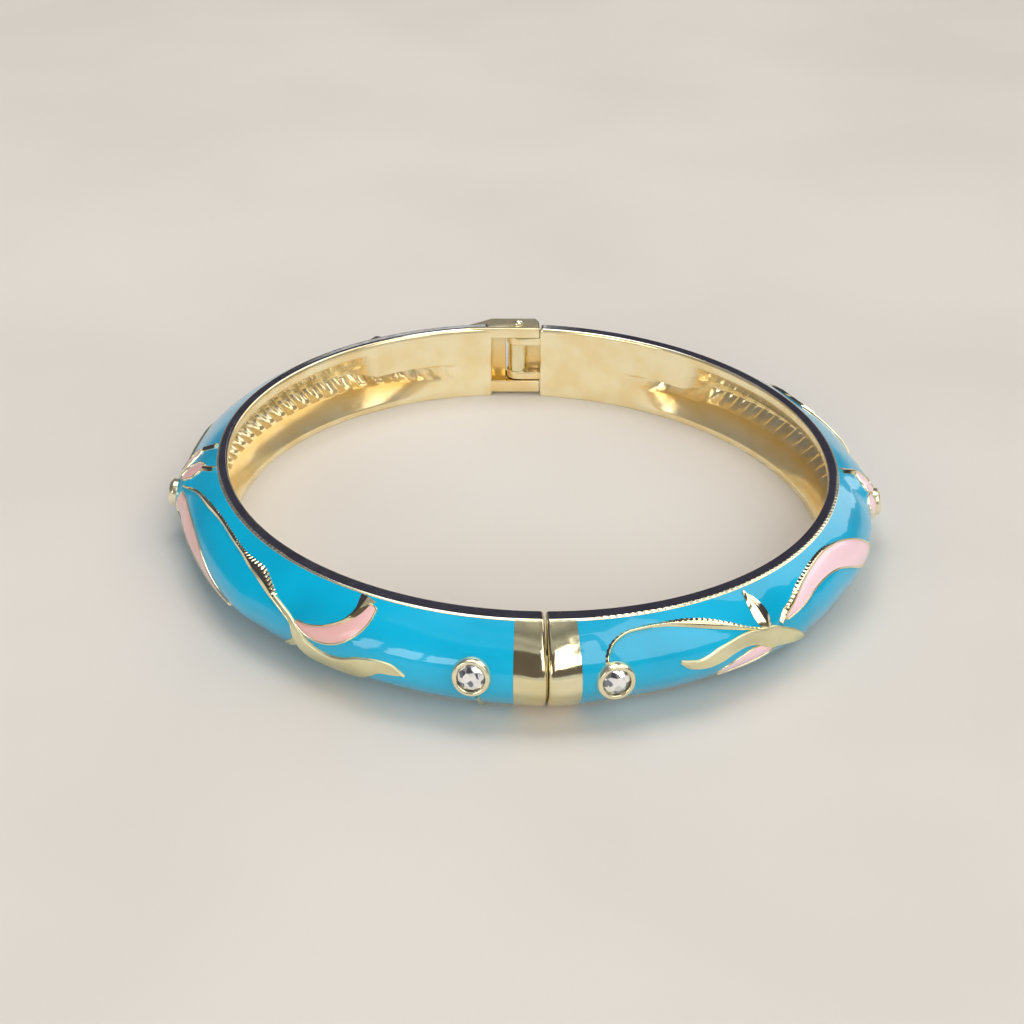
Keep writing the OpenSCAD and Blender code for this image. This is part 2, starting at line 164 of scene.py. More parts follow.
# %% Places on the crowned wall
# Right of the clasp the lower edge is drawn in a little: mm, the angles from and to, the fade at
# each end, and how far below the crest it is full, as u
tuck, tuck_from, tuck_to, tuck_fade, tuck_u = 0.45, 3, 38, 10, 0.7


def across(side, a, u, off):
    """Radius and height of a point off mm above the skin"""
    t = clasp_turn + side * a
    h, c = wall_h(t), crown(side, a)
    size = np.hypot(h / 2, 2 * c * u)
    radius = inner_r(t) + rim_w(t) + c * (1 - u * u) + off * h / 2 / size
    if side == RIGHT:
        there = ease((a - tuck_from) / tuck_fade) * ease((tuck_to - a) / tuck_fade)
        radius = radius - tuck * there * ease(-u / tuck_u)
    return radius, h / 2 * (1 + u) + off * 2 * c * u / size


def place(t, radius, height):
    """Points from an angle, a radius and a height"""
    t, radius, height = np.broadcast_arrays(t, radius, height)
    return np.stack([radius * cosine(t), radius * sine(t) + centre_y, height], axis=-1)


def grid_mm(side, a, u):
    """Millimetres along the ring per degree, and across the crown per unit of u"""
    t = clasp_turn + side * a
    h, c = wall_h(t), crown(side, a)
    return (inner_r(t) + rim_w(t) + c * (1 - u * u)) * math.pi / 180, np.hypot(h / 2, 2 * c * u)


# %% The skin
# The middle of each half's side flower, and the cone under it: its radius, its curve and its height
MIDDLE = {LEFT: 91, RIGHT: 82}
middle_u, boss_r, boss_curve = 0.08, 4.6, 1.3
BOSS_H = {LEFT: 0.55, RIGHT: 0.3}


def boss(side, a, u):
    """The low cone that lifts each side flower's middle"""
    along, over = grid_mm(side, a, u)
    reach = np.hypot((a - MIDDLE[side]) * along, (u - middle_u) * over) / boss_r
    return BOSS_H[side] * np.clip(1 - reach, 0, 1) ** boss_curve


def skin(side, a, u, off):
    """Points off mm above the skin, flowers' cones included"""
    radius, height = across(side, a, u, off + boss(side, a, u))
    return place(clasp_turn + side * a, radius, height)


print("crest at the clasp:", skin(LEFT, 0.0, 0.0, 0.0).round(2), "mm")

# %% [markdown]
# ## From a flat grid to a solid
#
# Most pieces here are long, narrow and curved: a casting, a leaf, a bead of
# metal round a petal. Each starts as a flat grid. Its columns run along the
# piece and its rows go once round the section, so bending the grid, welding
# the long edge and filling the two ends gives a closed solid. An extrusion
# along a curve object would also do, but there the section can't change
# freely on the way.

# %% A grid bent into a solid
WELD = 1e-8


def bend_grid(points, ring=False):
    """A bmesh whose grid point (i, j) lies at points[i, j], in mm, closed across the rows"""
    if ring:
        points = np.concatenate([points, points[:1]])
    points = np.concatenate([points, points[:, :1]], axis=1)
    columns, rows = points.shape[0] - 1, points.shape[1] - 1
    bm = bmesh.new()
    bmesh.ops.create_grid(bm, x_segments=columns, y_segments=rows, size=0.5)
    for v in bm.verts:
        i, j = round((v.co.x + 0.5) * columns), round((v.co.y + 0.5) * rows)
        v.co = points[i, j] * MM
    bmesh.ops.remove_doubles(bm, verts=bm.verts[:], dist=WELD)
    bmesh.ops.dissolve_degenerate(bm, edges=bm.edges[:], dist=WELD)
    bmesh.ops.holes_fill(bm, edges=[e for e in bm.edges if e.is_boundary])
    bmesh.ops.recalc_face_normals(bm, faces=bm.faces[:])
    return bm


def join(parts):
    """One bmesh from several"""
    whole = bmesh.new()
    for bm in parts:
        mesh = bpy.data.meshes.new("part")
        bm.to_mesh(mesh)
        whole.from_mesh(mesh)
        bpy.data.meshes.remove(mesh)
        bm.free()
    return whole


PIECES = {}
SHARP_TURN = math.radians(38)


def piece(name, bm, body, slot, *nodes, sharp=SHARP_TURN):
    """Makes the object, lets it ride on its body and hides the frame's nodes that it stands for"""
    mesh = bpy.data.meshes.new(name)
    bm.to_mesh(mesh)
    bm.free()
    mesh.polygons.foreach_set("use_smooth", [True] * len(mesh.polygons))
    mesh.set_sharp_from_angle(angle=sharp)
    obj = bpy.data.objects.new(name, mesh)
    bpy.context.scene.collection.objects.link(obj)
    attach(obj, body)
    if nodes:
        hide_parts(*nodes)
    PIECES[name] = obj
    print(f"{name}: {len(mesh.polygons)} faces")
    return obj


# %% [markdown]
# ## The cast halves
#
# Each half is one casting: a flat rim above and below, a sunk ground for the
# enamel between two metal borders, and a hollow back with a lip. Its section
# is a closed outline of corners that changes along the half. Corners are
# softened by short curves, because cast and polished metal has no sharp edge,
# and each soft edge catches a line of light. Bevelling the finished mesh would
# do the same, but where the outline shrinks to nothing a bevel folds over.

# %% Sizes of a casting
ground, ground_rows = 0.32, 17
border, border_rise = 0.26, 0.03
wall, enamel_t, lip = 1.7, 0.5, 0.6
hollow_u, hollow_rows = 0.8, 29
# The hollow starts this far from the clasp, and from the hinge in its upper and in its lower part.
# Each start is followed by the run to the full depth, in mm too
solid_front, front_run = 8, 7
HOLLOW = {LEFT: (18.3, 2.5, 6.8, 13), RIGHT: (17.2, 3, 9.2, 9)}
upper_from_u, upper_run_u = -0.2, 0.25
scallop_pitch, scallop_depth, scallop_fade = 0.6, 0.22, 3
SCALLOPED = {LEFT: (48, 84), RIGHT: (7, 79)}
rib_pitch, rib_lean, rib_steep = 1.75, 0.5, 2.5
RIB_DEPTH, RIB_U = {LEFT: 0.26, RIGHT: 0.055}, (-0.72, -0.1, 0.12)
# The inner upper edge is worn rounder towards the hinge: mm at the clasp, and mm more at the hinge
edge_soft, EDGE_WORN = 0.12, {LEFT: 0.5, RIGHT: 0.3}
worn_from, worn_run = 75, 60
foot_soft, rim_soft, border_soft, scallop_soft, lip_soft = 0.12, 0.08, 0.05, 0.07, 0.2
# A soft corner's curve starts once its size from the corner, and a point further on holds the flat
# beside it flat. Neither takes more than its share of the flat
CURVE_FROM, HOLD_FROM = (1, 0.44), (1.3, 0.49)
CURVE_STEPS = np.linspace(0, 1, 4)


# %% Soft corners, scallops and the hollow
def window(x, low, high, soft):
    """1 between low and high, with soft ends"""
    return ease((x - low) / soft) * ease((high - x) / soft)


def soften(before, corner, after, size):
    """Points of a short curve in place of a corner, for every column at once"""
    ends = []
    for other in (before, after):
        way = other - corner
        length = np.linalg.norm(way, axis=-1, keepdims=True)
        way = way / np.maximum(length, 1e-6)
        ends.append([corner + way * np.minimum(size * times, length * most)
                     for times, most in (CURVE_FROM, HOLD_FROM)])
    (first, hold_first), (last, hold_last) = ends
    curve = [(1 - q) ** 2 * first + 2 * q * (1 - q) * corner + q * q * last for q in CURVE_STEPS]
    return [hold_first, *curve, hold_last]


def scallops(side, a):
    """How far the saw-cut scallops bite into the rim's outer edge, in mm"""
    low, high = SCALLOPED[side]
    saw = 1 - along_mm(a, mean_r + rim_side) / scallop_pitch % 1
    return scallop_depth * window(a, low, high, scallop_fade) * saw


def hollow(side, a, u):
    """How deep the hollow is at a, u, from 0 to 1. Its lower part runs out as a long ramp"""
    high_from, high_run, low_from, low_run = HOLLOW[side]
    there = to_hinge(side, a)
    upper, lower = ease((there - high_from) / high_run), ease((there - low_from) / low_run)
    share = ease((u - upper_from_u) / upper_run_u)
    return (lower + (upper - lower) * share) * ease((along_mm(a) - solid_front) / front_run)


# %% Section of a casting
def casting_section(side, a):
    """Closed outline (columns, rows, 2) of a half at the angles a"""
    t = clasp_turn + side * a
    h, r = wall_h(t), inner_r(t)
    in_ground = ((a > band_turn) & (a < ENAMEL_END[side])).astype(float)
    sunk, rise = ground * in_ground, border_rise * in_ground
    bed = 1 - border / np.hypot(h / 2, 2 * crown(side, a))
    bite = scallops(side, a)
    worn = edge_soft + EDGE_WORN[side] * ease((a - worn_from) / worn_run)

    def pair(radius, height):
        return np.stack(np.broadcast_arrays(radius, height), axis=-1)

    back = []
    for u in np.linspace(hollow_u, -hollow_u, hollow_rows):
        deep, height = across(side, a, u, -enamel_t - wall)
        share = hollow(side, a, u)
        ribs = np.tanh(rib_steep * np.sin(2 * math.pi * (along_mm(a) / rib_pitch + rib_lean * u)))
        rib = RIB_DEPTH[side] * ribs * window(u, *RIB_U) * share
        back.append((pair(r + share * (deep - r) + rib, height), 0))
    grounds = [(pair(*across(side, a, q * bed, -sunk)), 0) for q in np.linspace(-1, 1, ground_rows)]
    radius, height = across(side, a, 1, 0)
    # Each corner of the outline, and how soft it is
    corners = [
        (pair(r, 0), foot_soft), (pair(*across(side, a, -1, 0)), rim_soft),
        (pair(*across(side, a, -bed, rise)), border_soft), *grounds,
        (pair(*across(side, a, bed, rise)), border_soft), (pair(radius - bite, height), scallop_soft),
        (pair(r, h), worn[:, None]), (pair(r, h - lip - worn), lip_soft), *back, (pair(r, lip), lip_soft),
    ]
    rows = []
    for n, (corner, size) in enumerate(corners):
        if np.any(size):
            before, after = corners[n - 1][0], corners[(n + 1) % len(corners)][0]
            rows += soften(before, corner, after, size)
        else:
            rows.append(corner)
    return np.stack(rows, axis=1)


# %% Cast halves
column_mm = 0.12
end_round = 0.32
END_ANGLES = np.radians([0, 22, 45, 68, 90])
# The ground's ends are nearly upright steps, this many degrees to each side of their place
step_turn, plain_columns = 0.03, 6


def casting(side):
    """One half as a closed solid, its ends rounded over"""
    spacing = turn_of(column_mm)
    start, end = seam_turn, SHELL_END[side]
    round_in = turn_of(end_round) * (1 - np.sin(END_ANGLES))
    inside = np.arange(band_turn + spacing, ENAMEL_END[side], spacing)
    near = [band_turn - step_turn, band_turn + step_turn]
    far = [ENAMEL_END[side] - step_turn, ENAMEL_END[side] + step_turn]
    a = np.concatenate([
        start + round_in[::-1],
        np.linspace(start + turn_of(2 * end_round), near[0], plain_columns)[:-1], near, inside, far,
        np.linspace(far[1], end - turn_of(2 * end_round), plain_columns)[1:], end - round_in,
    ])
    section = casting_section(side, a)
    shrink = np.zeros(len(a))
    shrink[:len(END_ANGLES)] = (1 - np.cos(END_ANGLES))[::-1]
    shrink[-len(END_ANGLES):] = 1 - np.cos(END_ANGLES)
    middle = section.mean(axis=1, keepdims=True)
    way = section - middle
    size = np.linalg.norm(way, axis=-1, keepdims=True)
    section = section - way / size * end_round * shrink[:, None, None]
    t = clasp_turn + side * a
    return bend_grid(place(t[:, None], section[..., 0], section[..., 1]))


for side, word in SIDES.items():
    piece(f"{word}_casting", casting(side), word, "gold_metal", f"{word}_half")

# %% [markdown]
# ## Leaves, stems and petals
#
# The raised ornament is drawn as short tables. A row is a place on the
# skin and a width there, and a smooth curve runs through the rows, the way a
# chaser marks a few points and draws the line between them.
# section then follows the curve: a bevelled one makes a leaf, a domed one the
# petal's enamel, and a thin round one the wire that edges it. The widths are
# shares of the widest petal's, bloom_w.

# %% Tables of the ornament: degrees from the clasp seam, u, width
bloom_w = 2.5
left_crescent = [[41, 0.27, 0.05], [37.6, 0.23, 0.37], [34, 0.3, 0.58], [31.3, 0.47, 0.62],
    [29.4, 0.67, 0.52], [28.4, 0.88, 0.3]]
left_blade = [[35.3, 0.42, 0.06], [32.2, 0.6, 0.18], [30.5, 0.78, 0.36], [29.9, 0.95, 0.66]]
left_crest = [[57, -0.28, 0.05], [63, -0.14, 0.46], [70, 0, 0.85], [76, 0.1, 0.95], [81, 0.14, 0.9],
    [87, 0.15, 0.75]]
left_lobe = [[90.4, 0.4, 0.3], [90.8, 0.52, 0.8], [90.8, 0.63, 0.9], [90.2, 0.74, 0.55], [89.6, 0.81, 0.2]]
left_back_lobe = [[94.4, 0.34, 0.4], [96.4, 0.5, 0.6], [97.4, 0.72, 0.25]]
left_leaf = [[47, 0.48, 0.25], [43.6, 0.33, 0.26], [41.4, 0.2, 0.3], [40, 0.02, 0.6], [38, -0.2, 0.9],
    [35.2, -0.34, 1.05], [31, -0.32, 1.1], [28, -0.15, 0.88], [25.3, -0.02, 0.55], [22.7, -0.02, 0.4],
    [20.9, -0.08, 0.05]]
left_rib = [[88, 0.42, 0.08], [83.4, 0.63, 0.12], [75.4, 0.77, 0.2], [69, 0.81, 0.17], [61.9, 0.78, 0.18],
    [58, 0.75, 0.2], [55, 0.72, 0.35], [52, 0.68, 0.48], [49, 0.57, 0.4], [46.5, 0.46, 0.26]]
left_stem = [[10.2, -0.35, 0.14], [9.6, -0.92, 0.14]]
left_bar = [[89.4, 0.8, 0.3], [86.9, 0.94, 0.32]]
left_back_bar = [[97.4, 0.75, 0.3], [95.9, 0.94, 0.32]]
left_tip = [[40.5, -0.12, 0.3], [42.3, -0.3, 0.26], [44.2, -0.42, 0.05]]
right_petal = [[38.8, 0.3, 0.14], [41, 0.4, 0.32], [43.3, 0.49, 0.46], [46.7, 0.59, 0.55],
    [50.4, 0.64, 0.66], [54.2, 0.62, 0.8], [58.4, 0.49, 0.95], [61.7, 0.31, 1], [64.6, 0.12, 0.8],
    [67, -0.1, 0.6], [69, -0.3, 0.3]]
right_blade = [[37.6, 0.24, 0.2], [38.8, 0.36, 0.31], [40.8, 0.49, 0.26], [43.4, 0.64, 0.29],
    [46, 0.72, 0.23], [49.6, 0.79, 0.22], [53.4, 0.81, 0.18], [58, 0.74, 0.1]]
right_low_petal = [[37, -0.16, 0.08], [34.2, -0.13, 0.5], [32.3, -0.16, 0.7], [30.2, -0.24, 0.74],
    [28.1, -0.34, 0.6], [26.4, -0.46, 0.15]]
right_lobe = [[82.2, 0.3, 1.15], [83, 0.53, 1], [83.6, 0.7, 0.4]]
right_fore_lobe = [[76.8, 0.24, 0.1], [78.4, 0.2, 0.7], [80, 0.14, 0.95]]
right_stem = [[8.8, 0.25, 0.13], [8.7, 0.45, 0.15], [9.6, 0.64, 0.15], [11.8, 0.77, 0.14],
    [15, 0.81, 0.15], [18, 0.81, 0.17], [21, 0.78, 0.29], [24.6, 0.7, 0.36], [28, 0.58, 0.28],
    [31, 0.45, 0.15], [34, 0.3, 0.16]]
right_leaf = [[19.5, 0.2, 0.14], [20.6, 0.12, 0.3], [22.3, 0.06, 0.38], [24, 0.07, 0.5], [26, 0.14, 0.57],
    [28.2, 0.22, 0.5], [30.3, 0.26, 0.52], [32.5, 0.23, 0.58], [34.9, 0.12, 0.8], [37.2, -0.02, 0.78],
    [40, -0.18, 0.65], [43, -0.4, 0.3], [45, -0.54, 0.05]]
right_sepal = [[33.3, 0.93, 0.08], [33.7, 0.8, 0.42], [34, 0.69, 0.57], [34.3, 0.55, 0.66],
    [34.5, 0.41, 0.54], [34.7, 0.25, 0.3]]
right_bar = [[83.8, 0.7, 0.3], [80.6, 0.93, 0.32]]


# %% Which table makes what
def mirrored(side, rows):
    """The same ornament on the far side of the side flower's middle"""
    return [[2 * MIDDLE[side] - a, u, width] for a, u, width in rows]


PETALS = {
    LEFT: [left_crescent, left_crest, mirrored(LEFT, left_crest), left_lobe, left_back_lobe,
           mirrored(LEFT, left_crescent)],
    RIGHT: [right_petal, mirrored(RIGHT, right_petal), right_low_petal, right_lobe, right_fore_lobe,
            mirrored(RIGHT, right_fore_lobe)],
}
VINES = {LEFT: [left_leaf, left_tip, mirrored(LEFT, left_leaf)], RIGHT: [right_leaf]}
BLADES = {
    LEFT: [left_rib, left_stem, left_bar, left_back_bar, left_blade, mirrored(LEFT, left_blade)],
    RIGHT: [right_stem, right_sepal, right_bar, right_blade, mirrored(RIGHT, right_blade)],
}
print("petals:", {SIDES[s]: len(PETALS[s]) for s in SIDES})


# %% A smooth curve through the rows
least_w, path_mm, least_columns = 0.04, 0.12, 8


def flowing(side, rows):
    """Rows of a path, every path_mm, on a smooth curve through the table's rows"""
    rows = np.array(rows, float)
    g = np.stack(grid_mm(side, rows[:, 0], rows[:, 1]), axis=-1)
    steps = np.linalg.norm(np.diff(rows[:, :2], axis=0) * (g[1:] + g[:-1]) / 2, axis=1)
    along = np.concatenate([[0], np.cumsum(steps)])
    slope = np.gradient(rows, along, axis=0)
    s = np.linspace(0, along[-1], max(least_columns, int(along[-1] / path_mm)) + 1)
    i = np.clip(np.searchsorted(along, s, side="right") - 1, 0, len(rows) - 2)
    length = (along[i + 1] - along[i])[:, None]
    q = (s - along[i])[:, None] / length
    curve = ((2 * q**3 - 3 * q**2 + 1) * rows[i] + (q**3 - 2 * q**2 + q) * length * slope[i]
             + (3 * q**2 - 2 * q**3) * rows[i + 1] + (q**3 - q**2) * length * slope[i + 1])
    curve[:, 2] = np.maximum(curve[:, 2] * bloom_w / 2, least_w)
    return curve


def directions(side, path, ring=False):
    """Unit directions along a path and across it, in mm on the skin"""
    g = np.stack(grid_mm(side, path[:, 0], path[:, 1]), axis=-1)
    if ring:
        way = (np.roll(path, -1, axis=0) - np.roll(path, 1, axis=0))[:, :2] * g
    else:
        way = np.gradient(path[:, :2], axis=0) * g
    way /= np.maximum(np.linalg.norm(way, axis=1, keepdims=True), 1e-9)
    return way, np.stack([-way[:, 1], way[:, 0]], axis=-1), g


# %% A ribbon of any section along a curve
# A tooth rises and falls evenly, cut off at 0 and 1. Above tooth_middle it reaches past the edge,
# below it the notch bites in, and it lowers the top by half as much
mill_pitch, tooth_peak, tooth_slope, tooth_middle = 0.5, 1.3, 2.6, 0.4
# Teeth shape what lies past outer_share across, and its top from top_off up. Nothing passes most_u
outer_share, top_off, most_u = 0.4, 0.1, 0.97
# How deep a ribbon's foot lies in the casting
root = -0.3


def ribbon(side, path, section, ring=False, milled=0):
    """A solid along path. A section's row is (-1 to 1 across, mm in from the edge, mm above the skin)

    milled is the depth of small teeth on the edge at 1 across, or at -1 if it is negative"""
    _, over, g = directions(side, path, ring)
    length = np.cumsum(np.linalg.norm(np.diff(path[:, :2], axis=0, prepend=path[:1, :2]) * g, axis=1))
    tooth = np.clip(tooth_peak - tooth_slope * np.abs(length / mill_pitch % 1 - 0.5), 0, 1)
    columns = []
    for share, inset, off in section:
        reach = share * path[:, 2]
        depth = abs(milled) * (share * np.sign(milled) > outer_share) * (off > root)
        reach = np.sign(reach) * np.maximum(np.abs(reach) - inset + depth * (tooth - tooth_middle), 0)
        a = path[:, 0] + over[:, 0] * reach / g[:, 0]
        u = np.clip(path[:, 1] + over[:, 1] * reach / g[:, 1], -most_u, most_u)
        columns.append(skin(side, a, u, off - depth * (1 - tooth) * (off > top_off) / 2))
    return bend_grid(np.stack(columns, axis=1), ring)


# %% Leaves, stems and bars
LEAF = [(-1, 0, root), (-1, 0, 0.02), (-1, 0.05, 0.16), (-1, 0.13, 0.24), (-1, 0.17, 0.25),
        (-0.5, 0.05, 0.2), (0, 0, 0.18), (0.5, 0.05, 0.2), (1, 0.17, 0.25), (1, 0.13, 0.24),
        (1, 0.05, 0.16), (1, 0, 0.02), (1, 0, root)]
RIDGE = [(-1, 0, root), (-1, 0, 0.04), (-0.55, 0, 0.15), (-0.1, 0, 0.25), (0.1, 0, 0.25), (0.55, 0, 0.15),
         (1, 0, 0.04), (1, 0, root)]
MILLED = [(left_rib, -0.12), (right_stem, 0.08), (right_blade, 0.05)]


def ornament(side, tables, section):
    """Every table's ribbon in one bmesh, with small teeth on the milled ones"""
    ribbons = []
    for rows in tables:
        teeth = sum(depth for table, depth in MILLED if table is rows)
        ribbons.append(ribbon(side, flowing(side, rows), section, milled=teeth))
    return join(ribbons)


for side, word in SIDES.items():
    piece(f"{word}_scrolls", ornament(side, VINES[side], LEAF), word, "gold_metal")
    piece(f"{word}_blades", ornament(side, BLADES[side], RIDGE), word, "gold_metal")

# %% Petals and the wires round them
wire_w, wire_smooth = 0.2, 2
dome_edge, dome_rise, dome_rows = 0.03, 0.09, 9
arch = [(q, 0, dome_edge + dome_rise * (1 - q * q)) for q in np.linspace(-1, 1, dome_rows)]
DOME = [(-1, 0, root), *arch, (1, 0, root)]
WIRE = [(-1, 0, root), (-1, 0, 0.04), (-0.75, 0, 0.1), (-0.3, 0, 0.14), (0.3, 0, 0.14), (0.75, 0, 0.1),
        (1, 0, 0.04), (1, 0, root)]


def outline_path(side, curve):
    """The closed path round a petal, with the wire's half width in its last column"""
    _, over, g = directions(side, curve)
    out = over * (curve[:, 2:] + wire_w / 2)
    one, two = curve[:, :2] + out / g, curve[:, :2] - out / g
    loop = np.concatenate([one, two[::-1]])
    for _ in range(wire_smooth):
        loop = (np.roll(loop, 1, axis=0) + 2 * loop + np.roll(loop, -1, axis=0)) / 4
    return np.column_stack([loop, np.full(len(loop), wire_w / 2)])


for side, word in SIDES.items():
    curves = [flowing(side, rows) for rows in PETALS[side]]
    fills = [ribbon(side, curve, DOME) for curve in curves]
    piece(f"{word}_petal_glaze", join(fills), word, "pink_enamel", f"{word}_petals")
    wires = [ribbon(side, outline_path(side, curve), WIRE, ring=True) for curve in curves]
    piece(f"{word}_petal_wires", join(wires), word, "gold_metal")

# %% [markdown]
# ## The blue enamel
#
# The ground is flooded with hard enamel and ground level with the metal. Up
# close it isn't quite flat: it climbs a little where it meets the metal. One
# sheet along the whole half lies under the leaves and wires, which stand
# through it, so no edge has to be cut to fit.

# %% Enamel sheets
enamel_top, enamel_low = -0.02, -0.3
enamel_mm, top_rows, low_rows = 0.4, 41, 9
# The sheet ends under the border, this share of the border's width from its outer side
enamel_edge = 0.3


def enamel(side):
    """The enamel of one half as a closed sheet between the borders"""
    count = int((ENAMEL_END[side] - band_turn) / turn_of(enamel_mm))
    a = np.linspace(band_turn, ENAMEL_END[side], count)
    t = clasp_turn + side * a
    edge = 1 - enamel_edge * border / np.hypot(wall_h(t) / 2, 2 * crown(side, a))
    top = [skin(side, a, edge * q, enamel_top) for q in np.linspace(-1, 1, top_rows)]
    low = [skin(side, a, edge * q, enamel_low) for q in np.linspace(1, -1, low_rows)]
    return bend_grid(np.stack(top + low, axis=1))


for side, word in SIDES.items():
    piece(f"{word}_glaze", enamel(side), word, "blue_enamel", f"{word}_enamel")

# %% [markdown]
# ## Settings and stones
#
# Four foil-backed crystals sit in round metal cups. A cup is a profile spun
# round its axis. A stone is cut by taking the hull of a few rings of points:
# the table, the tops of the kites and the girdle. The hull finds the flat
# facets by itself, which is how a cutter sees them, as planes and not as edges.

# %% Seats
stone_r, side_stone_r, bezel_w, bezel_h, stone_gap = 1.2, 0.8, 0.5, 0.45, 0.04
top_w, side_top_w = 0.36, 0.16
# A seat: degrees from the clasp seam, u, the stone's radius, the setting's height, its top's width
SEATS = {
    LEFT: {"front": (10.9, 0.13, stone_r, bezel_h, top_w),
           "side": (MIDDLE[LEFT], middle_u, side_stone_r, 0.42, side_top_w)},
    RIGHT: {"front": (9.7, 0.04, stone_r, bezel_h, top_w),
            "side": (MIDDLE[RIGHT], middle_u, side_stone_r, 0.3, side_top_w)},
}
spin_steps = 48
print("seats:", {SIDES[s]: list(SEATS[s]) for s in SIDES})


# %% Tools for round pieces
def stand(bm, side, seat):
    """Moves a bmesh made round +Z, in mm, to its seat on the skin"""
    base = skin(side, float(seat[0]), seat[1], 0.0)
    up = Vector(skin(side, float(seat[0]), seat[1], 1.0) - base)
    turn = up.to_track_quat("Z", "Y").to_matrix().to_4x4()
    bmesh.ops.transform(bm, matrix=Matrix.Scale(MM, 4) @ Matrix.Translation(Vector(base)) @ turn,
                        verts=bm.verts[:])


def spun(profile):
    """A closed profile of (radius, height) spun once round +Z"""
    bm = bmesh.new()
    verts = [bm.verts.new((r, 0, z)) for r, z in profile]
    edges = [bm.edges.new((verts[n], verts[(n + 1) % len(verts)])) for n in range(len(verts))]
    bmesh.ops.spin(bm, geom=verts + edges, cent=(0, 0, 0), axis=(0, 0, 1), angle=2 * math.pi,
                   steps=spin_steps, use_merge=True)
    bmesh.ops.remove_doubles(bm, verts=bm.verts[:], dist=WELD / MM)
    bmesh.ops.recalc_face_normals(bm, faces=bm.faces[:])
    return bm


# %% Settings
def cup(side, seat):
    """A round setting: a foot sunk in the skin, a slanted wall, a rounded top and an open middle"""
    r, height, top = seat[2] + stone_gap, seat[3], seat[4]
    out, low = r + bezel_w, height - bezel_h
    # The corners of its outline as radius and height, in mm
    foot = [(r * 0.2, low - 0.4), (out, -0.4), (out, 0), (out - 0.03, 0.1)]
    rim = [(r + top + 0.04, height - 0.1), (r + top - 0.03, height - 0.03), (r + top - 0.12, height),
           (r + 0.1, height - 0.03), (r + 0.02, height - 0.09), (r, height - 0.15)]
    bed = [(r - 0.02, low - 0.1), (r * 0.2, low - 0.2)]
    bm = spun(foot + rim + bed)
    stand(bm, side, seat)
    return bm


for side, word in SIDES.items():
    cups = join([cup(side, seat) for seat in SEATS[side].values()])
    piece(f"{word}_settings", cups, word, "gold_metal")


# %% Stones
# Table, stars, kites, girdle, pavilion and culet: a ring's points, its radius and its height in
# shares of the stone's radius, and its turn in steps
CUT = [(8, 0.56, 0.34, 0.5), (8, 0.79, 0.22, 0), (16, 1, 0.04, 0), (16, 1, 0, 0), (8, 0.5, -0.3, 0.5),
       (8, 0.12, -0.42, 0.5)]
girdle_drop, flat_turn, facet_sharp = 0.26, math.radians(1), 0.01


def cut_stone(side, seat):
    """The hull of the stone's rings, with the flat parts of each facet joined"""
    r, girdle = seat[2], seat[3] - girdle_drop
    bm = bmesh.new()
    for count, radius, height, lead in CUT:
        for n in range(count):
            turn = 2 * math.pi * (n + lead) / count
            bm.verts.new((radius * r * math.cos(turn), radius * r * math.sin(turn), girdle + height * r))
    bmesh.ops.convex_hull(bm, input=bm.verts[:])
    bmesh.ops.dissolve_limit(bm, angle_limit=flat_turn, verts=bm.verts[:], edges=bm.edges[:])
    bmesh.ops.recalc_face_normals(bm, faces=bm.faces[:])
    stand(bm, side, seat)
    return bm


for side, word in SIDES.items():
    for spot, seat in SEATS[side].items():
        stone = cut_stone(side, seat)
        piece(f"{word}_{spot}_crystal", stone, word, "crystal", f"{word}_{spot}_stone", sharp=facet_sharp)

# %% [markdown]
# ## The hinge
#
# Two knuckles on the left half hold the pin, and two thinner ones on the right
# half, with a barrel between them, turn on it. They are flat plates with one
# round end, so each is an outline pushed up to its thickness and bevelled. A
# thin wall on each half closes the window behind the barrel.

# %% Plates
ear_low, ear_high, arm_t, arm_gap, barrel_r = 1.4, 1.2, 0.9, 0.1, 1.12
ear_soft, arm_soft, wall_soft, soft_steps = 0.2, 0.14, 0.1, 3
pin_r, head_r, head_h = 0.42, 0.56, 0.42
pin_y = float(inner_r(90)) + knuckle_r + centre_y
relief = head_h + stone_gap
window_low, window_high = relief + ear_low, back_h - ear_high
ear_root = window_l + 2 * knuckle_r


def plate(outline, low, high, soft):
    """An outline round the pin, in mm, raised from low to high with soft edges"""
    bm = bmesh.new()
    face = bm.faces.new([bm.verts.new((x - pin_x, y + pin_y, low)) for x, y in outline])
    raised = bmesh.ops.extrude_face_region(bm, geom=[face])["geom"]
    tops = [v for v in raised if isinstance(v, bmesh.types.BMVert)]
    bmesh.ops.translate(bm, vec=(0, 0, high - low), verts=tops)
    bmesh.ops.recalc_face_normals(bm, faces=bm.faces[:])
    edges = [e for e in bm.edges if e.calc_face_angle(0) > SHARP_TURN]
    bmesh.ops.bevel(bm, geom=edges, offset=soft, segments=soft_steps, affect="EDGES", profile=0.5,
                    material=-1, clamp_overlap=True)
    bmesh.ops.scale(bm, vec=(MM, MM, MM), verts=bm.verts[:])
    return bm


def arc(radius, start, end, points=14):
    turns = np.radians(np.linspace(start, end, points))
    return [(radius * math.cos(q), radius * math.sin(q)) for q in turns]


def block(left, right, back):
    """A rectangle's outline from the pin's axis to its outer side"""
    return [(left, 0), (right, 0), (right, back), (left, back)]


